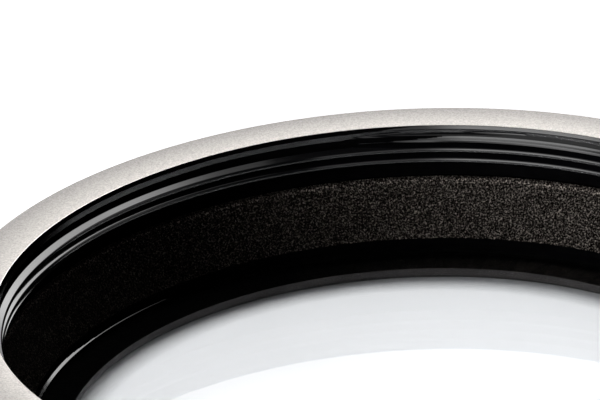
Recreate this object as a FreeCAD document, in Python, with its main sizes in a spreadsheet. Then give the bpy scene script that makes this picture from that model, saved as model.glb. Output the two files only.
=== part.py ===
import FreeCAD, Part
import Sketcher
import os

# A screw-in diffusion filter for a 52 mm thread, in millimetres. The optical axis is Z and the front,
# with the female thread, faces up. The origin is on the axis in the plane of the rear end.

SIZES = [
    # The frame outside
    ("total_height", 11.0, "rear end to front face"),
    ("face_width", 3.1, "flat silver ring of the front face"),
    ("edge_break", 0.3, "bevel on the corners of the grip wall"),
    ("thread_radius", 26.0, "nominal radius of both threads"),
    ("thread_pitch", 0.75, "pitch of both threads"),
    ("rear_thread_length", 2.8, "rear end to the shoulder under the grip wall"),
    ("rear_thread_allowance", 0.05, "male thread under its nominal radius"),
    ("rear_lead", 0.35, "bevel at the end of the male thread"),
    ("rear_relief_width", 0.5, "groove between male thread and shoulder"),
    ("rear_relief_cut", 0.45, "depth of that groove under the male thread"),
    ("knurl_spacing", 1.3, "distance between grooves along the grip wall"),
    ("knurl_width", 0.8, "width of a groove at the surface"),
    ("knurl_cut", 0.35, "depth of a groove"),
    ("knurl_margin", 1.3, "plain wall above and below the grooves"),
    # The frame inside, from the front face down
    ("entry_chamfer", 0.5, "bevel into the female thread"),
    ("front_thread_depth", 3.1, "front face to the end of the female thread"),
    ("relief_width", 0.8, "groove below the female thread"),
    ("relief_cut", 0.6, "depth of that groove beyond the thread radius"),
    ("baffle_step", 0.3, "ledge between that groove and the granular cone"),
    ("foot_height", 0.78, "smooth wall between cone and glass"),
    ("foot_bevel", 0.2, "bright bevel at the bottom of the smooth wall"),
    ("foot_land", 0.13, "straight edge between that bevel and the glass"),
    # The glass and the ring that holds it
    ("rear_wall", 1.05, "male thread to the bore for the glass"),
    ("glass_clearance", 0.1, "glass to its bore, on the radius"),
    ("glass_thickness", 1.5, "thickness of the glass"),
    ("glass_bevel", 0.15, "bevel on both edges of the glass"),
    ("seat_cover", 0.55, "foot of the frame over the edge of the glass"),
    ("ring_cover", 2.55, "retaining ring under the edge of the glass"),
    ("ring_thickness", 0.8, "height of the retaining ring"),
    ("ring_lip", 0.45, "straight part of the ring's inner edge"),
    ("ring_recess", 0.12, "retaining ring above the rear end"),
    ("ring_clearance", 0.05, "retaining ring to its bore, on the radius"),
    ("slot_width", 1.2, "spanner slots in the retaining ring"),
    ("slot_depth", 0.4, "depth of those slots from the rear"),
    ("slot_length", 1.4, "slots from the ring's inner edge outwards"),
    ("slot_angle", 60.0, "direction of the slots, clockwise from +Y in degrees"),
]

# Height of an internal metric thread over its pitch
CREST_RATIO = 0.5413

# Radii that several pieces share, from the thread outwards and inwards
CREST_RADIUS = f"Sizes.thread_radius - {CREST_RATIO} * Sizes.thread_pitch"
FACE_INNER_RADIUS = f"{CREST_RADIUS} + Sizes.entry_chamfer"
FACE_OUTER_RADIUS = f"{FACE_INNER_RADIUS} + Sizes.face_width"
GRIP_RADIUS = f"{FACE_OUTER_RADIUS} + Sizes.edge_break"
RELIEF_RADIUS = "Sizes.thread_radius + Sizes.relief_cut"
BAFFLE_TOP_RADIUS = f"{RELIEF_RADIUS} - Sizes.baffle_step"
REAR_THREAD_RADIUS = "Sizes.thread_radius - Sizes.rear_thread_allowance"
BORE_RADIUS = f"{REAR_THREAD_RADIUS} - Sizes.rear_wall"
GLASS_RADIUS = f"{BORE_RADIUS} - Sizes.glass_clearance"
SEAT_RADIUS = f"{GLASS_RADIUS} - Sizes.seat_cover"
FOOT_RADIUS = f"{SEAT_RADIUS} + Sizes.foot_bevel"
RING_RADIUS = f"{BORE_RADIUS} - Sizes.ring_clearance"
RING_INNER_RADIUS = f"{GLASS_RADIUS} - Sizes.ring_cover"

# Heights that several pieces share, from the rear end up and from the front face down
RING_BOTTOM = "Sizes.ring_recess"
RING_TOP = f"{RING_BOTTOM} + Sizes.ring_thickness"
GLASS_TOP = f"{RING_TOP} + Sizes.glass_thickness"
BAFFLE_FOOT = f"{GLASS_TOP} + Sizes.foot_height"
FACE = "Sizes.total_height"
THREAD_END = f"{FACE} - Sizes.front_thread_depth"
BAFFLE_TOP = f"{THREAD_END} - Sizes.relief_width"
SHOULDER = "Sizes.rear_thread_length"


def make_sheet(doc):
    sheet = doc.addObject("Spreadsheet::Sheet", "Sizes")
    for row, (alias, value, note) in enumerate(SIZES, start=1):
        sheet.set(f"A{row}", alias)
        sheet.set(f"B{row}", str(value))
        sheet.set(f"C{row}", note)
        sheet.setAlias(f"B{row}", alias)
    doc.recompute()


def origin_feature(body, role):
    for feature in body.Origin.OriginFeatures:
        if feature.Role == role:
            return feature
    raise ValueError(role)


def add_body(doc, label):
    body = doc.addObject("PartDesign::Body", label)
    body.Label = label
    return body


def add_sketch(body, name, role):
    sketch = body.newObject("Sketcher::SketchObject", name)
    sketch.AttachmentSupport = [(origin_feature(body, role), "")]
    sketch.MapMode = "FlatFace"
    sketch.Visibility = False
    return sketch


def bind(sketch, constraint, name, expression):
    """Add one dimension to a sketch and tie it to the sheet."""
    index = sketch.addConstraint(constraint)
    sketch.renameConstraint(index, name)
    sketch.setExpression(f"Constraints.{name}", expression)


def add_polygon(sketch, corners):
    """A closed outline. Each corner is (name, across, up), as expressions of the sheet, and a corner
    with "0" lies on an axis of the sketch."""
    places = [
        FreeCAD.Vector(float(sketch.evalExpression(across)), float(sketch.evalExpression(up)), 0)
        for _, across, up in corners
    ]
    count = len(corners)
    for index in range(count):
        sketch.addGeometry(Part.LineSegment(places[index], places[(index + 1) % count]), False)
    for index in range(count):
        sketch.addConstraint(Sketcher.Constraint("Coincident", index, 2, (index + 1) % count, 1))
    for index, (corner, across, up) in enumerate(corners):
        if across == "0":
            sketch.addConstraint(Sketcher.Constraint("PointOnObject", index, 1, -2))
        else:
            constraint = Sketcher.Constraint("DistanceX", -1, 1, index, 1, places[index].x)
            bind(sketch, constraint, f"{corner}_across", across)
        if up == "0":
            sketch.addConstraint(Sketcher.Constraint("PointOnObject", index, 1, -1))
        else:
            constraint = Sketcher.Constraint("DistanceY", -1, 1, index, 1, places[index].y)
            bind(sketch, constraint, f"{corner}_up", up)


def turn(body, kind, name, corners):
    """Turn an outline of (name, radius, height) corners about Z. A Revolution adds it to the body and
    a Groove cuts it."""
    sketch = add_sketch(body, f"{name}_outline", "XZ_Plane")
    add_polygon(sketch, corners)
    feature = body.newObject(f"PartDesign::{kind}", name)
    feature.Profile = sketch
    feature.ReferenceAxis = (sketch, ["V_Axis"])
    feature.Angle = 360.0
    body.Document.recompute()


def cut_upwards(body, name, sketch, length):
    """Cut an outline in a plane across the axis, from that plane up."""
    pocket = body.newObject("PartDesign::Pocket", name)
    pocket.Profile = sketch
    pocket.Reversed = True
    pocket.setExpression("Length", length)
    body.Document.recompute()
    return pocket


def repeat_round(body, name, feature):
    pattern = body.newObject("PartDesign::PolarPattern", name)
    pattern.Originals = [feature]
    pattern.Axis = (origin_feature(body, "Z_Axis"), [""])
    pattern.Angle = 360.0
    body.Tip = pattern
    return pattern


def build_frame(doc):
    """The turned frame. The outside comes first, then the front recess, the bore for the glass and
    the knurl on the grip wall."""
    body = add_body(doc, "frame_ring")
    relief_floor = f"{REAR_THREAD_RADIUS} - Sizes.rear_relief_cut"
    relief_bottom = f"{SHOULDER} - Sizes.rear_relief_width"
    turn(body, "Revolution", "frame_blank", [
        ("rear_centre", "0", "0"),
        ("rear_end", f"{REAR_THREAD_RADIUS} - Sizes.rear_lead", "0"),
        ("rear_lead", REAR_THREAD_RADIUS, "Sizes.rear_lead"),
        ("rear_thread", REAR_THREAD_RADIUS, relief_bottom),
        ("rear_relief_bottom", relief_floor, relief_bottom),
        ("rear_relief_top", relief_floor, SHOULDER),
        ("shoulder", FACE_OUTER_RADIUS, SHOULDER),
        ("grip_bottom", GRIP_RADIUS, f"{SHOULDER} + Sizes.edge_break"),
        ("grip_top", GRIP_RADIUS, f"{FACE} - Sizes.edge_break"),
        ("face_outer", FACE_OUTER_RADIUS, FACE),
        ("face_centre", "0", FACE),
    ])

    bevel_bottom = f"{GLASS_TOP} + Sizes.foot_land"
    turn(body, "Groove", "front_recess", [
        ("seat_centre", "0", GLASS_TOP),
        ("seat_edge", SEAT_RADIUS, GLASS_TOP),
        ("bevel_bottom", SEAT_RADIUS, bevel_bottom),
        ("bevel_top", FOOT_RADIUS, f"{bevel_bottom} + Sizes.foot_bevel"),
        ("baffle_foot", FOOT_RADIUS, BAFFLE_FOOT),
        ("baffle_top", BAFFLE_TOP_RADIUS, BAFFLE_TOP),
        ("relief_bottom", RELIEF_RADIUS, BAFFLE_TOP),
        ("relief_top", RELIEF_RADIUS, THREAD_END),
        ("thread_end", CREST_RADIUS, THREAD_END),
        ("thread_start", CREST_RADIUS, f"{FACE} - Sizes.entry_chamfer"),
        ("face_inner", FACE_INNER_RADIUS, FACE),
        ("mouth_centre", "0", FACE),
    ])

    turn(body, "Groove", "glass_bore", [
        ("bore_centre", "0", "0"),
        ("bore_mouth", BORE_RADIUS, "0"),
        ("bore_seat", BORE_RADIUS, GLASS_TOP),
        ("bore_seat_centre", "0", GLASS_TOP),
    ])

    # One V groove across the grip wall, drawn past the surface with the same slope
    knurl_bottom = f"{SHOULDER} + Sizes.knurl_margin"
    sketch = add_sketch(body, "knurl_groove_outline", "XY_Plane")
    sketch.setExpression("AttachmentOffset.Base.z", knurl_bottom)
    beyond = f"{GRIP_RADIUS} + Sizes.knurl_cut"
    add_polygon(sketch, [
        ("left", "-Sizes.knurl_width", beyond),
        ("right", "Sizes.knurl_width", beyond),
        ("root", "0", f"{GRIP_RADIUS} - Sizes.knurl_cut"),
    ])
    length = f"{FACE} - Sizes.knurl_margin - ({knurl_bottom})"
    groove = cut_upwards(body, "knurl_groove", sketch, length)
    knurl = repeat_round(body, "knurl", groove)
    knurl.setExpression("Occurrences", f"round(2 * pi * ({GRIP_RADIUS}) / Sizes.knurl_spacing)")
    return body


def build_glass(doc):
    """A flat round plate with a bevel on both edges, face to face with the foot of the frame."""
    body = add_body(doc, "diffusion_glass")
    sketch = add_sketch(body, "glass_circle", "XY_Plane")
    radius = float(sketch.evalExpression(GLASS_RADIUS))
    circle = Part.Circle(FreeCAD.Vector(0, 0, 0), FreeCAD.Vector(0, 0, 1), radius)
    sketch.addGeometry(circle, False)
    sketch.addConstraint(Sketcher.Constraint("Coincident", 0, 3, -1, 1))
    bind(sketch, Sketcher.Constraint("Radius", 0, radius), "glass_radius", GLASS_RADIUS)
    plate = body.newObject("PartDesign::Pad", "glass_plate")
    plate.Profile = sketch
    plate.setExpression("Length", "Sizes.glass_thickness")
    doc.recompute()
    rims = [
        f"Edge{index}"
        for index, edge in enumerate(plate.Shape.Edges, start=1)
        if isinstance(edge.Curve, Part.Circle)
    ]
    bevels = body.newObject("PartDesign::Chamfer", "glass_bevels")
    bevels.Base = (plate, rims)
    bevels.setExpression("Size", "Sizes.glass_bevel")
    body.setExpression("Placement.Base.z", RING_TOP)
    return body


def build_retaining_ring(doc):
    """The threaded ring under the glass, with two spanner slots in its rear face."""
    body = add_body(doc, "retaining_ring")
    undercut = "(Sizes.ring_thickness - Sizes.ring_lip)"
    turn(body, "Revolution", "ring_blank", [
        ("inner_top", RING_INNER_RADIUS, RING_TOP),
        ("outer_top", RING_RADIUS, RING_TOP),
        ("outer_bottom", RING_RADIUS, RING_BOTTOM),
        ("undercut", f"{RING_INNER_RADIUS} + {undercut}", RING_BOTTOM),
        ("lip_bottom", RING_INNER_RADIUS, f"{RING_TOP} - Sizes.ring_lip"),
    ])

    # The slot is drawn along +Y in the plane of the rear end, open towards the axis
    sketch = add_sketch(body, "slot_outline", "XY_Plane")
    half = "Sizes.slot_width / 2"
    near = f"{RING_INNER_RADIUS} - Sizes.slot_width"
    far = f"{RING_INNER_RADIUS} + Sizes.slot_length"
    add_polygon(sketch, [
        ("right_near", half, near),
        ("right_far", half, far),
        ("left_far", f"-{half}", far),
        ("left_near", f"-{half}", near),
    ])
    slot = cut_upwards(body, "slot", sketch, f"{RING_BOTTOM} + Sizes.slot_depth")
    repeat_round(body, "slots", slot).Occurrences = 2
    body.setExpression("Placement.Rotation.Angle", "-Sizes.slot_angle")
    return body


doc = FreeCAD.newDocument("diffusion_filter")
make_sheet(doc)
pieces = [build_frame(doc), build_glass(doc), build_retaining_ring(doc)]
doc.recompute()

for item in doc.Objects:
    if "Invalid" in item.State or "Error" in item.State:
        raise RuntimeError(f"{item.Label}: {item.State}")
for piece in pieces:
    if piece.Shape.isNull() or not piece.Shape.isValid():
        raise RuntimeError(f"{piece.Label} has no valid shape")

os.makedirs("parts", exist_ok=True)
for piece in pieces:
    piece.Shape.exportStep(f"parts/{piece.Label}.step")
    box = piece.Shape.BoundBox
    print(f"{piece.Label}: {piece.Shape.Volume:.1f} mm3, z {box.ZMin:.2f} to {box.ZMax:.2f}, width {box.XLength:.2f}")
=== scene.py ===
import math
import bpy
import bmesh
import numpy as np
from mathutils import Matrix, Vector


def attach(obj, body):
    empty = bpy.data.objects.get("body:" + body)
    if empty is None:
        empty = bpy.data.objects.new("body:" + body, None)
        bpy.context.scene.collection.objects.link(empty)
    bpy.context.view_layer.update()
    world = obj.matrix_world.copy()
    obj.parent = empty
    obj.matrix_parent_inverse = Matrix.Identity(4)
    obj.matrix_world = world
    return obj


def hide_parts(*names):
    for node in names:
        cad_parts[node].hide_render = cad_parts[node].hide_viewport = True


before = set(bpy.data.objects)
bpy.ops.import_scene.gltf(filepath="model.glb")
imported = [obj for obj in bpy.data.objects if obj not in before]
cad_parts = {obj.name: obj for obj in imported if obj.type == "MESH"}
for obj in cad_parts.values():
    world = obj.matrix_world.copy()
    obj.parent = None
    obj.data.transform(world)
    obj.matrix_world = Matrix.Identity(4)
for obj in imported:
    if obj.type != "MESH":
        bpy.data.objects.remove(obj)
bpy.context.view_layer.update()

mm = 0.001
weldDistance = 3e-7      # metres
print("CAD frame loaded:", sorted(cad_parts))


def roundedLine(corners, steps=3):
    # corners are (radius, height, fillet) in mm; each fillet becomes a short curve
    points = []
    for i, (r, z, fillet) in enumerate(corners):
        if fillet <= 0 or i == 0 or i == len(corners) - 1:
            points.append((r, z))
            continue
        here = Vector((r, z))
        before = Vector(corners[i - 1][:2])
        after = Vector(corners[i + 1][:2])
        start = here + (before - here).normalized() * min(fillet, (before - here).length * 0.48)
        end = here + (after - here).normalized() * min(fillet, (after - here).length * 0.48)
        for k in range(steps + 1):
            t = k / steps
            p = start * (1 - t) ** 2 + here * 2 * t * (1 - t) + end * t ** 2
            points.append((p.x, p.y))
    return points


def angles(columns, start=0.0):
    # clockwise from +Y seen from the front, in radians
    return np.radians(start) + np.arange(columns) * 2 * math.pi / columns


def ring(radius, height, turn):
    radius = np.broadcast_to(radius, turn.shape)
    height = np.broadcast_to(height, turn.shape)
    return np.stack([radius * np.sin(turn), radius * np.cos(turn), height], 1)


def skin(rows, slots=0, shift=0):
    # rows of points joined into quads and closed round the axis. In a helix the last column meets
    # the first one a whole turn, shift rows, lower. Slots is one material slot, one for each row of
    # faces, or one for each face
    rows = [np.asarray(row) for row in rows]
    count = len(rows)
    columns = len(rows[0])
    lengths = [0.0]
    for a, b in zip(rows[:-1], rows[1:]):
        lengths.append(lengths[-1] + float(np.linalg.norm(b - a, axis=1).mean()))
    arc = 2 * math.pi * float(np.hypot(rows[0][:, 0], rows[0][:, 1]).mean()) / columns
    faces, uvs, used = [], [], []
    if isinstance(slots, int):
        slots = [slots] * (count - 1)
    for i in range(count - 1):
        v0, v1 = lengths[i], lengths[i + 1]
        for c in range(columns):
            n, step = (c + 1, 0) if c + 1 < columns else (0, shift)
            if i + 1 + step > count - 1:
                continue
            faces.append((i * columns + c, (i + 1) * columns + c,
                          (i + 1 + step) * columns + n, (i + step) * columns + n))
            used.append(int(slots[i] if np.ndim(slots[i]) == 0 else slots[i][c]))
            u0, u1 = c * arc, (c + 1) * arc
            uvs += [(u0, v0), (u0, v1), (u1, v1), (u1, v0)]
    return {"points": np.concatenate(rows), "faces": faces, "uvs": uvs, "slots": used}


def makePiece(name, skins, materials, sharpAngle=34):
    # joins the skins, welds the rows that meet and keeps real edges crisp
    points, faces, uvs, slots = [], [], [], []
    for part in skins:
        first = sum(len(p) for p in points)
        points.append(part["points"])
        faces += [tuple(first + i for i in face) for face in part["faces"]]
        uvs += part["uvs"]
        slots += part["slots"]
    mesh = bpy.data.meshes.new(name)
    mesh.from_pydata((np.concatenate(points) * mm).tolist(), [], faces)
    layer = mesh.uv_layers.new(name="turned")
    layer.data.foreach_set("uv", np.array(uvs, np.float32).ravel())
    for material in materials:
        mesh.materials.append(material)
    mesh.polygons.foreach_set("material_index", slots)
    work = bmesh.new()
    work.from_mesh(mesh)
    bmesh.ops.remove_doubles(work, verts=work.verts, dist=weldDistance)
    bmesh.ops.dissolve_degenerate(work, edges=work.edges, dist=1e-7)
    for edge in work.edges:
        if len(edge.link_faces) == 2:
            edge.smooth = edge.calc_face_angle(0) < math.radians(sharpAngle)
    for face in work.faces:
        face.smooth = True
    work.to_mesh(mesh)
    work.free()
    piece = bpy.data.objects.new(name, mesh)
    bpy.context.scene.collection.objects.link(piece)
    print(name + ":", len(mesh.polygons), "faces")
    return piece


# every material is procedural and in real sizes, with what may be changed in a dictionary beside it
def newMaterial(name):
    material = bpy.data.materials.new(name)
    material.use_nodes = True
    nodes = material.node_tree.nodes
    nodes.clear()
    output = nodes.new("ShaderNodeOutputMaterial")
    shader = nodes.new("ShaderNodeBsdfPrincipled")
    material.node_tree.links.new(shader.outputs["BSDF"], output.inputs["Surface"])
    return material, shader


def link(material, a, b):
    material.node_tree.links.new(a, b)


def maths(tree, operation, a, b=None):
    # a and b are sockets or plain numbers
    node = tree.nodes.new("ShaderNodeMath")
    node.operation = operation
    for socket, value in zip(node.inputs, (a, b)):
        if isinstance(value, bpy.types.NodeSocket):
            tree.links.new(value, socket)
        elif value is not None:
            socket.default_value = value
    return node.outputs[0]


def coordinates(material, kind="object", scale=(1, 1, 1)):
    nodes = material.node_tree.nodes
    if kind == "turned":
        source = nodes.new("ShaderNodeUVMap")
        source.uv_map = "turned"
        out = source.outputs["UV"]
    else:
        source = nodes.new("ShaderNodeTexCoord")
        out = source.outputs["Object"]
    mapping = nodes.new("ShaderNodeMapping")
    mapping.inputs["Scale"].default_value = scale
    link(material, out, mapping.inputs["Vector"])
    return mapping.outputs["Vector"]


def noise(material, vector, scale, detail=2.0, rough=0.5):
    node = material.node_tree.nodes.new("ShaderNodeTexNoise")
    node.inputs["Scale"].default_value = scale
    node.inputs["Detail"].default_value = detail
    node.inputs["Roughness"].default_value = rough
    link(material, vector, node.inputs["Vector"])
    return node.outputs["Fac"]


def fromAxis(material):
    # distance from the optical axis, in metres
    nodes = material.node_tree.nodes
    place = coordinates(material, "object", (1, 1, 0))
    length = nodes.new("ShaderNodeVectorMath")
    length.operation = "LENGTH"
    link(material, place, length.inputs[0])
    return length.outputs["Value"]


def tinted(material, colour, factor):
    node = material.node_tree.nodes.new("ShaderNodeVectorMath")
    node.operation = "SCALE"
    link(material, colour, node.inputs[0])
    link(material, factor, node.inputs["Scale"])
    return node.outputs[0]


def spread(material, value, low, high, toLow, toHigh):
    node = material.node_tree.nodes.new("ShaderNodeMapRange")
    node.inputs["From Min"].default_value = low
    node.inputs["From Max"].default_value = high
    node.inputs["To Min"].default_value = toLow
    node.inputs["To Max"].default_value = toHigh
    link(material, value, node.inputs["Value"])
    return node.outputs["Result"]


def ramp(material, value, stops):
    node = material.node_tree.nodes.new("ShaderNodeValToRGB")
    elements = node.color_ramp.elements
    while len(elements) < len(stops):
        elements.new(0.5)
    for element, (place, colour) in zip(elements, stops):
        element.position = place
        element.color = (*colour, 1)
    link(material, value, node.inputs["Fac"])
    return node.outputs["Color"]


def bump(material, shader, height, distance, strength=1.0):
    node = material.node_tree.nodes.new("ShaderNodeBump")
    node.inputs["Distance"].default_value = distance
    node.inputs["Strength"].default_value = strength
    link(material, height, node.inputs["Height"])
    link(material, node.outputs["Normal"], shader.inputs["Normal"])


silverLook = {
    "outer": (0.286, 0.272, 0.260),     # painted shade: darker towards the outer edge of the face
    "inner": (0.508, 0.482, 0.456),     # painted light: lighter towards the thread
    "radii": (0.0290, 0.0264),
    "contrast": 0.50,                    # how much the grains of the blasting differ
    "roughness": (0.44, 0.47),
    "grain": 9500,                       # grains per metre
    "grainHeight": 0.000008,
    "patches": 900,                      # patches of another roughness per metre
}


def silverBlast():
    material, shader = newMaterial("silver_blasted_aluminium")
    place = coordinates(material)
    fine = noise(material, place, silverLook["grain"], 2.0, 0.6)
    broad = noise(material, place, silverLook["patches"], 3.0)
    # the tone across the face is painted shade and light: darker at its outer edge, lighter at the
    # thread
    outer, inner = silverLook["radii"]
    across = spread(material, fromAxis(material), outer, inner, 0, 1)
    tone = ramp(material, across, [(0.0, silverLook["outer"]), (1.0, silverLook["inner"])])
    half = silverLook["contrast"] / 2
    speckle = spread(material, fine, 0.3, 0.7, 1 - half, 1 + half)
    link(material, tinted(material, tone, speckle), shader.inputs["Base Color"])
    low, high = silverLook["roughness"]
    link(material, spread(material, broad, 0.3, 0.7, low, high), shader.inputs["Roughness"])
    shader.inputs["Metallic"].default_value = 1.0
    bump(material, shader, fine, silverLook["grainHeight"], 0.6)
    return material


blackLook = {
    "colour": (0.0012, 0.0012, 0.0016),
    "worn": (0.0026, 0.0026, 0.0034),
    "roughness": (0.06, 0.19),
    "grain": 13000,          # spots per metre in the polish
    "lines": 26,             # turning lines, by their length in the map
    "cloud": 260,            # patches of wear per metre
}


def blackTurned():
    material, shader = newMaterial("black_anodised_turned")
    lines = coordinates(material, "turned", (0.02, 1, 1))
    marks = noise(material, lines, blackLook["lines"], 3.0, 0.6)
    place = coordinates(material)
    cloud = noise(material, place, blackLook["cloud"], 3.0)
    tone = ramp(material, cloud, [(0.35, blackLook["colour"]), (0.75, blackLook["worn"])])
    link(material, tone, shader.inputs["Base Color"])
    low, high = blackLook["roughness"]
    fine = noise(material, place, blackLook["grain"], 2.0, 0.7)
    link(material, spread(material, fine, 0.3, 0.7, low, high), shader.inputs["Roughness"])
    shader.inputs["IOR"].default_value = 1.45
    bump(material, shader, marks, 0.000001, 0.2)
    return material


matteLook = {
    "colour": (0.0010, 0.0010, 0.0012),
    "worn": (0.0020, 0.0020, 0.0022),
    "roughness": (0.45, 0.60),
    "cloud": 1400,           # patches per metre
}


def blackMatte():
    # the dyed floors of the grooves and the plain walls, where no tool has burnished the metal
    material, shader = newMaterial("black_anodised_matte")
    place = coordinates(material)
    cloud = noise(material, place, matteLook["cloud"], 3.0)
    tone = ramp(material, cloud, [(0.35, matteLook["colour"]), (0.75, matteLook["worn"])])
    link(material, tone, shader.inputs["Base Color"])
    low, high = matteLook["roughness"]
    link(material, spread(material, cloud, 0.3, 0.7, low, high), shader.inputs["Roughness"])
    shader.inputs["Specular IOR Level"].default_value = 0.0
    bump(material, shader, cloud, 0.000002, 0.3)
    return material


grainLook = {
    # the coating's grain, with its pits painted dark as painted shade and its raised grains painted
    # pale as painted glints
    "pitShade": (0.0012, 0.0010, 0.0009),
    "grain": (0.027, 0.023, 0.0205),
    "speck": (0.265, 0.236, 0.210),
    "size": 8600,            # grains per metre
    "height": 0.00008,
    "rim": (0.0065, 0.0071),        # heights between which the upper edge is
    # painted highlight along the upper edge: share of the way up the edge, and how much lighter or
    # darker it is painted there
    "rimHighlightSteps": ((0.2, 1.0), (0.42, 1.5), (0.54, 2.3), (0.66, 1.5), (0.82, 0.6)),
}


def blackGranular():
    material, shader = newMaterial("black_granular_coating")
    place = coordinates(material)
    grain = noise(material, place, grainLook["size"], 2.5, 0.62)
    # the tone follows the bumps: pits painted dark as painted shade, raised grains painted pale as
    # painted glints
    tone = ramp(material, grain, [(0.43, grainLook["pitShade"]), (0.54, grainLook["grain"]),
                                  (0.73, grainLook["speck"])])
    parts = material.node_tree.nodes.new("ShaderNodeSeparateXYZ")
    link(material, place, parts.inputs["Vector"])
    # the upper edge of the cone is painted lighter as a painted highlight, with a darker band at
    # its very top
    low, high = grainLook["rim"]
    up = spread(material, parts.outputs["Z"], low, high, 0, 1)
    gain = max(value for where, value in grainLook["rimHighlightSteps"])
    edge = ramp(material, up, [(where, (value / gain,) * 3)
                               for where, value in grainLook["rimHighlightSteps"]])
    paintedHighlight = spread(material, edge, 0, 1, 0, gain)
    link(material, tinted(material, tone, paintedHighlight), shader.inputs["Base Color"])
    link(material, spread(material, grain, 0.3, 0.7, 0.62, 0.42), shader.inputs["Roughness"])
    shader.inputs["Specular IOR Level"].default_value = 0.0
    bump(material, shader, grain, grainLook["height"], 1.0)
    return material


ringLook = {
    "colour": (0.043, 0.0385, 0.0390),
    "worn": (0.072, 0.0655, 0.0665),
    "edge": (0.02228, 0.02240),    # painted light on the inner lip and painted shade on the top face: lighter inside the first radius than past the second
    "shadedTopShare": 0.05,
    "streaks": (60, 60, 9000),     # turning marks per metre along each axis
    "cloud": 500,
}


def ringBlack():
    material, shader = newMaterial("retaining_ring_anodised")
    place = coordinates(material)
    streaks = coordinates(material, "object", ringLook["streaks"])
    marks = noise(material, streaks, 1.0, 2.0)
    cloud = noise(material, place, ringLook["cloud"], 3.0)
    tone = ramp(material, cloud, [(0.3, ringLook["colour"]), (0.75, ringLook["worn"])])
    # painted light and shade: the inner lip keeps the full tone and the top face beyond it is
    # darkened
    low, high = ringLook["edge"]
    paintedLipLight = spread(material, fromAxis(material), low, high, 1.0, ringLook["shadedTopShare"])
    link(material, tinted(material, tone, paintedLipLight), shader.inputs["Base Color"])
    link(material, spread(material, marks, 0.3, 0.7, 0.34, 0.5), shader.inputs["Roughness"])
    shader.inputs["Specular IOR Level"].default_value = 0.3
    bump(material, shader, marks, 0.000004, 0.5)
    return material


glassLook = {
    "colour": (0.787, 0.799, 0.814),
    "ior": 1.52,
    "mist": (0.045, 0.075),         # roughness of the mist layer on the rear face
    "shadow": (0.53, 0.54, 0.55),   # what is left of the light that passes the plate
    "edge": (0.0015, 0.0040),       # darkest and palest grain of the blackened ground edge
    "dust": 4200,                   # specks per metre on the front face
    "mistGrain": 2600,              # grains per metre in the mist and on the ground edge
    "edgeGrain": 9000,
}


def shadowless(material, shader):
    # light passes the glass on its way to the table, so the shadow under it stays pale
    nodes = material.node_tree.nodes
    output = nodes["Material Output"]
    path = nodes.new("ShaderNodeLightPath")
    clear = nodes.new("ShaderNodeBsdfTransparent")
    clear.inputs["Color"].default_value = (*glassLook["shadow"], 1)
    mix = nodes.new("ShaderNodeMixShader")
    link(material, path.outputs["Is Shadow Ray"], mix.inputs["Fac"])
    link(material, shader.outputs["BSDF"], mix.inputs[1])
    link(material, clear.outputs["BSDF"], mix.inputs[2])
    link(material, mix.outputs["Shader"], output.inputs["Surface"])


def clearGlass():
    material, shader = newMaterial("filter_glass_front")
    place = coordinates(material)
    dust = noise(material, place, glassLook["dust"], 2.0)
    shader.inputs["Base Color"].default_value = (*glassLook["colour"], 1)
    shader.inputs["IOR"].default_value = glassLook["ior"]
    shader.inputs["Transmission Weight"].default_value = 1.0
    link(material, spread(material, dust, 0.68, 0.82, 0.0, 0.05), shader.inputs["Roughness"])
    shadowless(material, shader)
    return material


def mistGlass():
    material, shader = newMaterial("filter_glass_mist")
    place = coordinates(material)
    mist = noise(material, place, glassLook["mistGrain"], 3.0, 0.6)
    shader.inputs["Base Color"].default_value = (*glassLook["colour"], 1)
    shader.inputs["IOR"].default_value = glassLook["ior"]
    shader.inputs["Transmission Weight"].default_value = 1.0
    low, high = glassLook["mist"]
    link(material, spread(material, mist, 0.35, 0.7, low, high), shader.inputs["Roughness"])
    shadowless(material, shader)
    return material


def groundEdge():
    material, shader = newMaterial("filter_glass_ground_edge")
    place = coordinates(material)
    grain = noise(material, place, glassLook["edgeGrain"], 2.0)
    dark, pale = glassLook["edge"]
    tone = ramp(material, grain, [(0.3, (dark,) * 3), (0.8, (pale,) * 3)])
    link(material, tone, shader.inputs["Base Color"])
    shader.inputs["Roughness"].default_value = 0.7
    shader.inputs["Specular IOR Level"].default_value = 0.0
    bump(material, shader, grain, 0.00001, 0.5)
    return material


silver = silverBlast()
black = blackTurned()
matte = blackMatte()
granular = blackGranular()
ringMetal = ringBlack()
glassFront = clearGlass()
glassMist = mistGlass()
glassEdge = groundEdge()
print("materials made")


# the silver outside of the frame, in mm: front face and knurled grip wall
rimSizes = {
    "faceHeight": 11.0,
    "faceInner": 26.094,
    "faceOuter": 29.194,
    "faceRows": (26.6, 27.3, 28.1, 28.8),
    "grip": 29.494,
    "shoulder": 2.8,
    "shoulderMiddle": 27.4,
    "shoulderInner": 25.5,
    "knurls": 143,
    "knurlWidth": 0.8,
    "knurlCut": 0.35,
    "knurlBottom": 4.1,
    "knurlMiddle": 6.9,
    "knurlTop": 9.7,
}


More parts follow.
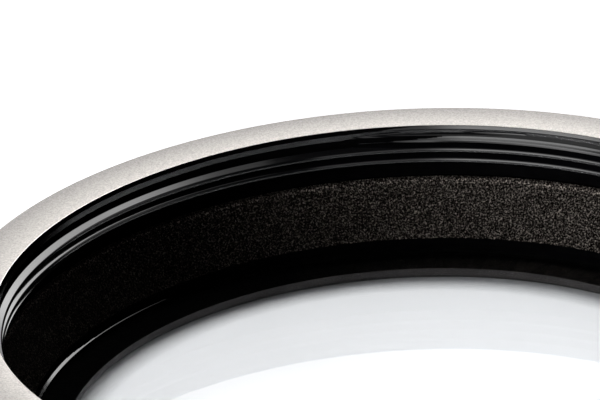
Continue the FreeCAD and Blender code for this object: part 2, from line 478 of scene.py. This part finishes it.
def buildRim():
    s = rimSizes
    spacing = 2 * math.pi / s["knurls"]
    half = s["knurlWidth"] / 2 / s["grip"]
    # one groove: shoulder, rounded lip, slope, rounded root, and the same again
    offsets = np.array([-0.5 * spacing + 0.0001, -half * 1.12, -half * 0.88, -half * 0.1,
                        half * 0.1, half * 0.88, half * 1.12, 0.5 * spacing - 0.02 * spacing])
    depths = np.array([0.0, 0.012, 0.055, 0.93, 0.93, 0.055, 0.012, 0.0]) * s["knurlCut"]
    turn = (np.arange(s["knurls"])[:, None] * spacing + offsets[None, :]).ravel()
    groove = np.tile(depths, s["knurls"])
    outline = roundedLine([
        (s["faceInner"], s["faceHeight"] - 0.02, 0),
        (s["faceInner"] + 0.03, s["faceHeight"], 0.02),
        *[(r, s["faceHeight"], 0) for r in s["faceRows"]],
        (s["faceOuter"], s["faceHeight"], 0.1),
        (s["grip"], s["faceHeight"] - 0.3, 0.1),
        (s["grip"], s["knurlTop"] + 0.45, 0),
    ])
    rows = [ring(r, z, turn) for r, z in outline]
    # the ends of the grooves rise over a short slope
    for z, share in ((s["knurlTop"], 0.0), (s["knurlTop"] - 0.05, 0.8), (s["knurlTop"] - 0.12, 1.0),
                     (s["knurlMiddle"], 1.0),
                     (s["knurlBottom"] + 0.12, 1.0), (s["knurlBottom"] + 0.05, 0.8),
                     (s["knurlBottom"], 0.0)):
        rows.append(ring(s["grip"] - groove * share, z, turn))
    lower = roundedLine([
        (s["grip"], s["knurlBottom"] - 0.4, 0),
        (s["grip"], s["shoulder"] + 0.3, 0.1),
        (s["faceOuter"], s["shoulder"], 0.1),
        (s["shoulderMiddle"], s["shoulder"], 0),
        (s["shoulderInner"], s["shoulder"], 0),
    ])
    rows += [ring(r, z, turn) for r, z in lower]
    return makePiece("frame_rim", [skin(rows)], [silver])


rim = buildRim()
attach(rim, "root")
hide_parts("frame_ring")


# the black inside of the frame, in mm from the rear end or as said
insideSizes = {
    "columns": 480,
    "startAngle": -8.0,       # where the first ridge of the thread begins
    "crest": 25.594,
    "root": 26.0,
    "pitch": 0.75,
    "firstTop": 0.77,         # depth of the first ridge below the face, where it begins
    "crestFlat": 0.27,
    "polish": 0.70,           # the wall above this depth is as smooth as the ridges
    "polishEnds": (-8, 90),   # angles between which the entry is polished too
    "polishRun": 0.9,         # degrees by which each strip of the entry starts after the one below
    "entryWall": (0.03, 0.27),    # depths of the top and the foot of the upright entry
    "entryRows": (0.12, 0.24, 0.36, 0.48, 0.60, 0.72),    # shares of the way down it
    "fadeIn": 18,             # degrees over which the first ridge grows out of the wall
    "landEnds": (45, 90),     # degrees where its land starts to go, and over which it goes
    "edgePolish": (0.9, 3, 30),    # mm that the polish grows to, where from and over how far
    "matteFloor": 0.05,       # share of the height of a ridge below which the groove is matte
    # the land above the first ridge: depth above its lower edge, share of the height of the ridge
    "land": ((0.445, 0.53), (0.305, 0.70), (0.125, 0.808), (0.0, 0.985)),
    "threadTop": 10.52,
    "threadBottom": 8.2,
    "relief": 26.6,
    "reliefBottom": 7.1,
    "coneTop": 26.3,
    "coneFoot": 24.45,
    "footTop": 3.2,
    "bevelTop": 2.75,
    "bevelBottom": 2.55,
    "bevelStrips": 6,
    # share of the bevel that the tool has burnished, by angle in degrees
    "burnish": ((180, 0), (215, 1), (292, 1), (300, 0.28), (306, 0.12), (318, 0.1), (322, 0)),
    "seat": 24.25,
    "glassTop": 2.42,
    "bore": 24.9,
    "rearEnd": 25.6,
}


# the section of a ridge, in mm and degrees
toothSizes = {
    "flankAngle": 30,
    "early": 0.012,           # how far above its upper flank the section starts
    "upperCorner": 0.88,      # share of the height where the crest begins, and rises on to 1
    "rise": 0.45,             # share of the crest over which it does
    "rootFillet": 0.03,
    "crestFillet": 0.04,
    "lowerFillet": 0.055,
    "longest": 0.06,          # longest step along the axis
}


def toothSamples(pitch, flat, height):
    # one ridge from the groove above it to the groove below, as (drop, share of its height)
    t = toothSizes
    flank = height * math.tan(math.radians(t["flankAngle"]))
    corners = [
        (-flank - t["early"], 0, 0),
        (-flank, 0, t["rootFillet"]),
        (0, t["upperCorner"], t["crestFillet"]),
        (flat * t["rise"], 1, t["crestFillet"]),
        (flat, 1, t["lowerFillet"]),
        (flat + flank, 0, t["rootFillet"]),
        (pitch - flank - t["early"], 0, 0),
    ]
    scaled = [(drop, share * height, fillet) for drop, share, fillet in corners]
    line = roundedLine(scaled, 4)
    fine = [line[0]]
    for a, b in zip(line[:-1], line[1:]):
        parts = max(1, math.ceil((b[0] - a[0]) / t["longest"]))
        for k in range(1, parts + 1):
            part = k / parts
            fine.append((a[0] + (b[0] - a[0]) * part, a[1] + (b[1] - a[1]) * part))
    return [(drop, share / height) for drop, share in fine[:-1]]


def smooth(value):
    value = np.clip(value, 0, 1)
    return value * value * (3 - 2 * value)


def onThread(local, drops, shares, pitch):
    # which ridge a depth is on, and the share of the ridge's height there
    number = np.floor((local - drops[0]) / pitch)
    along = local - number * pitch
    return number, np.interp(along, [*drops, pitch + drops[0]], [*shares, 0.0])


def threadRows(s, face):
    turn = angles(s["columns"], s["startAngle"])
    way = (turn - turn[0]) / (2 * math.pi)     # share of a turn from the start of the thread
    height = s["root"] - s["crest"]
    samples = toothSamples(s["pitch"], s["crestFlat"], height)
    drops = np.array([drop for drop, share in samples])
    shares = np.array([share for drop, share in samples])
    low = face - s["threadBottom"]
    high = face - s["threadTop"]
    degrees = way * 360
    begin = smooth(degrees / s["fadeIn"])
    goes, run = s["landEnds"]
    weight = begin * (1 - smooth((degrees - goes) / run))
    # the polish of the first ridge starts as a thin line on its edge and grows upwards
    most, starts, over = s["edgePolish"]
    grown = most * smooth((degrees - starts) / over)
    rows, teeth, bounds, depths = [], [], [], []
    for k in range(-2, 4):
        for drop in drops:
            depth = s["firstTop"] + s["pitch"] * (way + k) + drop
            depth = np.clip(depth, high, low)
            local = depth - s["firstTop"] - s["pitch"] * way
            number, tooth = onThread(local, drops, shares, s["pitch"])
            tooth = np.where(number < 0, 0.0, tooth)
            tooth = np.where(number == 0, tooth * begin, tooth)
            # the groove above the first ridge opens slowly, so the ridge starts as a sloping land
            end = s["firstTop"] + s["pitch"] * way + s["crestFlat"]
            land = np.zeros(len(turn))
            depthA, shareA = high + 0.02, 0.0
            for lift, shareB in s["land"]:
                depthB = end - lift
                inside = np.clip((depth - depthA) / (depthB - depthA), 0, 1)
                land = np.where(depth > depthA, shareA + (shareB - shareA) * inside, land)
                depthA, shareA = depthB, shareB
            above = local < s["crestFlat"]
            tooth = np.where(above, tooth * (1 - weight) + land * weight, tooth)
            radius = s["root"] - height * tooth
            rows.append(ring(radius, face - depth, turn))
            teeth.append(tooth)
            plain = (number == 0) & (s["crestFlat"] - local > grown)
            # above the polish everything is matte, and 2 is more than any share
            bounds.append(np.where(plain, 2.0, s["matteFloor"]))
            depths.append(depth)
    # the floor of the groove and the underside of each ridge stay matte
    slots = [(np.maximum(a, b) < bound) & (depth > s["polish"]) | (b < a - 0.01)
             for a, b, bound, depth in zip(teeth[:-1], teeth[1:], bounds[1:], depths[1:])]
    return rows, slots, len(samples), turn


def buildThread():
    s = insideSizes
    face = rimSizes["faceHeight"]
    thread, slots, perPitch, turn = threadRows(s, face)
    wallTop, wallFoot = s["entryWall"]
    top = Vector((rimSizes["faceInner"] - 0.012, face - wallTop))
    foot = Vector((s["root"] + 0.004, face - wallFoot))
    entry = roundedLine([
        (rimSizes["faceInner"] + 0.002, face - 0.015, 0),
        (top.x, top.y, 0.01),
        *[(*top.lerp(foot, share), 0) for share in s["entryRows"]],
        (foot.x, foot.y, 0.06),
        (s["root"], s["threadTop"], 0),
    ], 6)
    below = roundedLine([
        (s["relief"], s["threadBottom"], 0),
        (s["relief"], s["reliefBottom"], 0.08),
        (s["coneTop"], s["reliefBottom"], 0.0),
    ])
    entryRows = [ring(r, z, turn) for r, z in entry]
    belowRows = [thread[-1]] + [ring(r, z, turn) for r, z in below]
    # away from the start of the thread the entry is matte, the upper strips over more of the ring
    begin, end = s["polishEnds"]
    degrees = np.degrees(turn)
    strips = len(entry) - 2
    entrySlots = [0] * (strips + 1)
    for k in range(strips):
        late = (strips - k) * s["polishRun"]
        entrySlots[k] = (degrees < begin + late) | (degrees > end - late)
    skins = [skin(entryRows, entrySlots), skin(thread, slots, perPitch), skin(belowRows, 1)]
    return makePiece("front_thread", skins, [black, matte])


baffleSizes = {"columns": 1440, "rows": 40, "grainHeight": 0.045, "seed": 11}


def buildBaffle():
    # the cone has real grains, pushed out of its surface one by one
    s = insideSizes
    columns, count = baffleSizes["columns"], baffleSizes["rows"]
    turn = angles(columns)
    dice = np.random.default_rng(baffleSizes["seed"])
    rows = []
    slope = Vector((s["coneTop"] - s["coneFoot"], s["reliefBottom"] - s["footTop"])).normalized()
    for k in range(count + 1):
        t = k / count
        r = s["coneTop"] + (s["coneFoot"] - s["coneTop"]) * t
        z = s["reliefBottom"] + (s["footTop"] - s["reliefBottom"]) * t
        grain = dice.uniform(0, 1, columns) ** 2 * baffleSizes["grainHeight"]
        if k == count:
            grain *= 0
        rows.append(ring(r - grain * slope.y, z + grain * slope.x * 0.5, turn))
    return makePiece("baffle_cone", [skin(rows)], [granular], 70)


def buildFoot():
    s = insideSizes
    turn = angles(s["columns"])
    strips = s["bevelStrips"]
    top = [(s["coneFoot"], s["footTop"]), (s["coneFoot"], s["bevelTop"])]
    first = Vector((s["coneFoot"] - 0.06, s["bevelTop"] - 0.06))
    last = Vector((s["seat"], s["bevelBottom"]))
    bevel = [tuple(first.lerp(last, k / strips)) for k in range(strips + 1)]
    seat = roundedLine([
        (s["seat"], s["bevelBottom"], 0),
        (s["seat"], s["glassTop"] + 0.003, 0.02),
        (s["bore"], s["glassTop"] + 0.003, 0.04),
        (s["bore"], 0.0, 0.05),
        (s["rearEnd"], 0.0, 0),
    ])
    outline = top + bevel + seat[1:]
    # only the lower part of the bevel is burnished, and the burnish runs out round the ring
    where, shares = zip(*s["burnish"])
    share = np.interp(np.degrees(turn), where, shares)
    slots = [1] * (len(outline) - 1)
    for k in range(strips):
        slots[len(top) + k] = 1 - (k + 0.5) / strips > share
    rows = [ring(r, z, turn) for r, z in outline]
    return makePiece("foot_and_bore", [skin(rows, slots)], [black, matte])


rearSizes = {
    "startAngle": 140,
    "crest": 25.95,
    "crestFlat": 0.10,
    "height": 0.46,
    "lead": 0.35,
    "threadTop": 2.3,
    "reliefFloor": 25.5,
    "shoulder": 2.8,
    "rearEnd": 25.55,
    "columns": 360,
}


def buildRearThread():
    s = rearSizes
    p = insideSizes["pitch"]
    turn = angles(s["columns"], s["startAngle"])
    way = (turn - turn[0]) / (2 * math.pi)
    samples = toothSamples(p, s["crestFlat"], s["height"])
    drops = np.array([drop for drop, share in samples])
    shares = np.array([share for drop, share in samples])
    rows = []
    for k in range(-2, 5):
        for drop in drops:
            # measured down from the end of the thread next to the relief
            depth = np.clip(p * (way + k) + drop, 0.0, s["threadTop"])
            number, tooth = onThread(depth - p * way, drops, shares, p)
            radius = s["crest"] - s["height"] * (1 - tooth)
            height = s["threadTop"] - depth
            lead = s["crest"] - s["lead"] + height
            rows.append(ring(np.minimum(radius, lead), height, turn))
    top = [ring(s["reliefFloor"], s["shoulder"], turn),
           ring(s["reliefFloor"], s["threadTop"] + 0.08, turn), rows[0]]
    bottom = [rows[-1], ring(s["rearEnd"], 0.0, turn)]
    skins = [skin(top), skin(rows, 0, len(samples)), skin(bottom)]
    return makePiece("rear_thread", skins, [black])


for piece in (buildThread(), buildBaffle(), buildFoot(), buildRearThread()):
    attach(piece, "root")
    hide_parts("frame_ring")


plateSizes = {
    "top": 2.42,
    "bottom": 0.92,
    "radius": 24.8,
    "bevel": 0.15,
    "rows": (0.001, 6, 12, 18, 22),      # radii of the rings that the flat faces are made of
    "columns": 240,
}


def buildPlate():
    s = plateSizes
    turn = angles(s["columns"])
    top = [ring(r, s["top"], turn) for r in (*s["rows"], s["radius"] - s["bevel"])]
    side = [top[-1], ring(s["radius"], s["top"] - s["bevel"], turn),
            ring(s["radius"], s["bottom"] + s["bevel"], turn),
            ring(s["radius"] - s["bevel"], s["bottom"], turn)]
    bottom = [side[-1]] + [ring(r, s["bottom"], turn) for r in reversed(s["rows"])]
    plate = makePiece("diffusion_plate", [skin(top, 0), skin(side, 2), skin(bottom, 1)],
                      [glassFront, glassMist, glassEdge], 30)
    work = bmesh.new()
    work.from_mesh(plate.data)
    bmesh.ops.holes_fill(work, edges=[e for e in work.edges if e.is_boundary], sides=0)
    bmesh.ops.recalc_face_normals(work, faces=work.faces)
    for face in work.faces:
        if len(face.verts) > 4:
            upper = face.calc_center_median().z > (s["top"] + s["bottom"]) / 2 * mm
            face.material_index = 0 if upper else 1
    work.to_mesh(plate.data)
    work.free()
    return plate


plate = buildPlate()
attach(plate, "root")
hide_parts("diffusion_glass")


# the retaining ring under the glass keeps its CAD shape and gets a soft edge
softSizes = {"width": 0.04, "steps": 2, "angle": 35}
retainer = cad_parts["retaining_ring"]
retainer.data.materials.clear()
retainer.data.materials.append(ringMetal)
softEdge = retainer.modifiers.new("soft_edges", "BEVEL")
softEdge.width = softSizes["width"] * mm
softEdge.segments = softSizes["steps"]
softEdge.limit_method = "ANGLE"
softEdge.angle_limit = math.radians(softSizes["angle"])
softEdge.harden_normals = True
print("retaining ring dressed")


tableLook = {
    "colour": (0.90, 0.90, 0.90),
    "fibre": (0.885, 0.885, 0.885),
    "glow": 0.91,
    "size": 6.0,
    "fibres": 300,           # fibres per metre
    # painted shadow: radius in metres and the share of the glow that is left, less where the filter
    # stands
    "shade": ((0.0206, 1.0), (0.0223, 0.04), (0.0290, 0.0), (0.0305, 0.45), (0.0420, 1.0)),
}
skyLook = {
    "white": 0.8,
    "dark": 0.045,
    "edge": (0.25, 0.60),    # where white starts to turn dark, and where it is dark
    "diffuse": 0.01,         # what rough surfaces get of it
}


def seenDirectly(tree):
    # 1 for camera, mirror and glass rays, and 0 for the light that falls on things
    path = tree.nodes.new("ShaderNodeLightPath")
    seen = maths(tree, "MAXIMUM", path.outputs["Is Camera Ray"], path.outputs["Is Glossy Ray"])
    seen = maths(tree, "MAXIMUM", seen, path.outputs["Is Transmission Ray"])
    # a ray that has left a rough surface stays dark, also when it goes on through the glass
    clear = maths(tree, "LESS_THAN", path.outputs["Diffuse Depth"], 0.5)
    return maths(tree, "MULTIPLY", seen, clear)


def buildTable():
    mesh = bpy.data.meshes.new("table")
    half = tableLook["size"] / 2
    work = bmesh.new()
    bmesh.ops.create_grid(work, x_segments=8, y_segments=8, size=half)
    work.to_mesh(mesh)
    work.free()
    table = bpy.data.objects.new("table", mesh)
    bpy.context.scene.collection.objects.link(table)
    material, shader = newMaterial("white_table")
    place = coordinates(material)
    paper = noise(material, place, tableLook["fibres"], 3.0)
    tone = ramp(material, paper, [(0.2, tableLook["fibre"]), (0.8, tableLook["colour"])])
    link(material, tone, shader.inputs["Base Color"])
    shader.inputs["Roughness"].default_value = 0.85
    shader.inputs["Specular IOR Level"].default_value = 0.0
    # painted shadow on the table under and around the filter, by distance from the axis
    first, last = tableLook["shade"][0][0], tableLook["shade"][-1][0]
    across = spread(material, fromAxis(material), first, last, 0, 1)
    stops = [((r - first) / (last - first), (v, v, v)) for r, v in tableLook["shade"]]
    shade = ramp(material, across, stops)
    tree = material.node_tree
    dimmed = maths(tree, "MULTIPLY", seenDirectly(tree), shade)
    glow = maths(tree, "MULTIPLY", dimmed, tableLook["glow"])
    shader.inputs["Emission Color"].default_value = (1, 1, 1, 1)
    link(material, glow, shader.inputs["Emission Strength"])
    mesh.materials.append(material)
    table.visible_diffuse = False       # it sends no light up into the black inside


def buildSky():
    world = bpy.data.worlds.new("studio")
    bpy.context.scene.world = world
    world.use_nodes = True
    nodes = world.node_tree.nodes
    nodes.clear()
    links = world.node_tree.links
    out = nodes.new("ShaderNodeOutputWorld")
    place = nodes.new("ShaderNodeTexCoord")
    # white behind the object and low down, darker overhead and behind the camera
    toward = nodes.new("ShaderNodeVectorMath")
    toward.operation = "DOT_PRODUCT"
    toward.inputs[1].default_value = (0, -0.5, 1)
    links.new(place.outputs["Generated"], toward.inputs[0])
    height = nodes.new("ShaderNodeMapRange")
    height.interpolation_type = "SMOOTHSTEP"
    height.inputs["From Min"].default_value = skyLook["edge"][0]
    height.inputs["From Max"].default_value = skyLook["edge"][1]
    height.inputs["To Min"].default_value = skyLook["white"]
    height.inputs["To Max"].default_value = skyLook["dark"]
    links.new(toward.outputs["Value"], height.inputs["Value"])
    path = nodes.new("ShaderNodeLightPath")
    # the camera sees plain white behind the table
    strength = maths(world.node_tree, "MAXIMUM", path.outputs["Is Camera Ray"],
                     height.outputs["Result"])
    seen = nodes.new("ShaderNodeBackground")
    seen.inputs["Color"].default_value = (1, 1, 1, 1)
    links.new(strength, seen.inputs["Strength"])
    fill = nodes.new("ShaderNodeBackground")
    fill.inputs["Color"].default_value = (1, 1, 1, 1)
    fill.inputs["Strength"].default_value = skyLook["diffuse"]
    mix = nodes.new("ShaderNodeMixShader")
    links.new(seenDirectly(world.node_tree), mix.inputs["Fac"])
    links.new(fill.outputs["Background"], mix.inputs[1])
    links.new(seen.outputs["Background"], mix.inputs[2])
    links.new(mix.outputs["Shader"], out.inputs["Surface"])


lamps = {
    # direction from the object, distance, width, height, radiance, the surfaces it lights, and the
    # share of its half width over which it fades towards its edges
    "side_window": ((-0.84, -0.50, 0.24), 1.0, 0.70, 0.35, 18.0, "rough", 0),
    "window_softbox": ((-0.62, -0.72, 0.32), 1.0, 1.25, 0.80, 5.6, "gloss", 0.6),
    "right_panel": ((0.541, 0.601, 0.588), 0.9, 1.03, 1.22, 5.6, "gloss", 0.6),
    "upper_panel": ((0.44, 0.16, 0.88), 0.9, 0.60, 0.36, 1.0, "gloss", 0),
    "left_panel": ((-0.40, -0.22, 0.88), 0.9, 0.62, 0.56, 0.8, "gloss", 0),
    "front_panel": ((0.0, -1.0, 0.31), 1.0, 0.80, 0.50, 0.9, "gloss", 0),
    "back_panel": ((-0.5, 1.0, 0.27), 1.3, 2.6, 0.75, 0.7, "gloss", 0),
    "face_fill": ((0.1, -1.0, 0.42), 1.1, 2.2, 0.9, 0.9, "silver", 0),
    "face_side": ((-0.70, 0.62, 0.50), 1.0, 0.90, 0.90, 2.2, "silver", 0),
}


def softenEdges(light, fade):
    # the middle of the lamp keeps its strength and its edges fall to nothing
    light.use_nodes = True
    nodes = light.node_tree.nodes
    links = light.node_tree.links
    place = nodes.new("ShaderNodeNewGeometry")
    parts = nodes.new("ShaderNodeSeparateXYZ")
    links.new(place.outputs["Parametric"], parts.inputs["Vector"])
    shares = []
    for side in ("X", "Y"):
        middle = maths(light.node_tree, "SUBTRACT", parts.outputs[side], 0.5)
        away = maths(light.node_tree, "ABSOLUTE", middle)
        share = nodes.new("ShaderNodeMapRange")
        share.interpolation_type = "SMOOTHSTEP"
        share.inputs["From Min"].default_value = 0.5 * (1 - fade)
        share.inputs["From Max"].default_value = 0.5
        share.inputs["To Min"].default_value = 1
        share.inputs["To Max"].default_value = 0
        links.new(away, share.inputs["Value"])
        shares.append(share.outputs["Result"])
    both = maths(light.node_tree, "MULTIPLY", *shares)
    links.new(both, nodes["Emission"].inputs["Strength"])


def buildLamps():
    silverParts = bpy.data.collections.new("silver_parts")
    silverParts.objects.link(rim)
    for name, (direction, distance, width, height, radiance, lights, fade) in lamps.items():
        light = bpy.data.lights.new(name, "AREA")
        light.shape = "RECTANGLE"
        light.size = width
        light.size_y = height
        light.energy = radiance * math.pi * width * height      # watts
        if fade > 0:
            softenEdges(light, fade)
        lamp = bpy.data.objects.new(name, light)
        away = Vector(direction).normalized()
        lamp.location = away * distance
        lamp.rotation_mode = "QUATERNION"
        lamp.rotation_quaternion = away.to_track_quat("Z", "Y")
        lamp.visible_camera = False
        lamp.visible_diffuse = lights == "rough"
        lamp.visible_glossy = lights != "rough"
        if lights == "silver":
            lamp.light_linking.receiver_collection = silverParts
        bpy.context.scene.collection.objects.link(lamp)


cameraFit = {
    "place": (0.0, -0.269421, 0.136180),
    "yaw": -0.022343387,
    "pitch": 0.415171604,
    "roll": -0.067641989,
    "sensor": 36,
    "lens": 4653.149 / 600 * 36,      # mm, from the focal length in pixels of a picture 600 wide
}


def buildCamera():
    yaw, pitch, roll = (cameraFit[key] for key in ("yaw", "pitch", "roll"))
    level = math.cos(pitch)
    ahead = Vector((math.sin(yaw) * level, math.cos(yaw) * level, -math.sin(pitch)))
    right = Vector((math.cos(yaw), -math.sin(yaw), 0))
    up = right.cross(ahead)
    across = right * math.cos(roll) + up * math.sin(roll)
    above = up * math.cos(roll) - right * math.sin(roll)
    data = bpy.data.cameras.new("camera")
    data.sensor_width = cameraFit["sensor"]
    data.lens = cameraFit["lens"]
    data.clip_start = 0.01
    data.clip_end = 20
    camera = bpy.data.objects.new("camera", data)
    camera.matrix_world = Matrix((
        (across.x, above.x, -ahead.x, cameraFit["place"][0]),
        (across.y, above.y, -ahead.y, cameraFit["place"][1]),
        (across.z, above.z, -ahead.z, cameraFit["place"][2]),
        (0, 0, 0, 1),
    ))
    bpy.context.scene.collection.objects.link(camera)
    bpy.context.scene.camera = camera


buildTable()
buildSky()
buildLamps()
buildCamera()
bpy.context.scene.view_settings.view_transform = "Standard"
print("table, light and camera set")
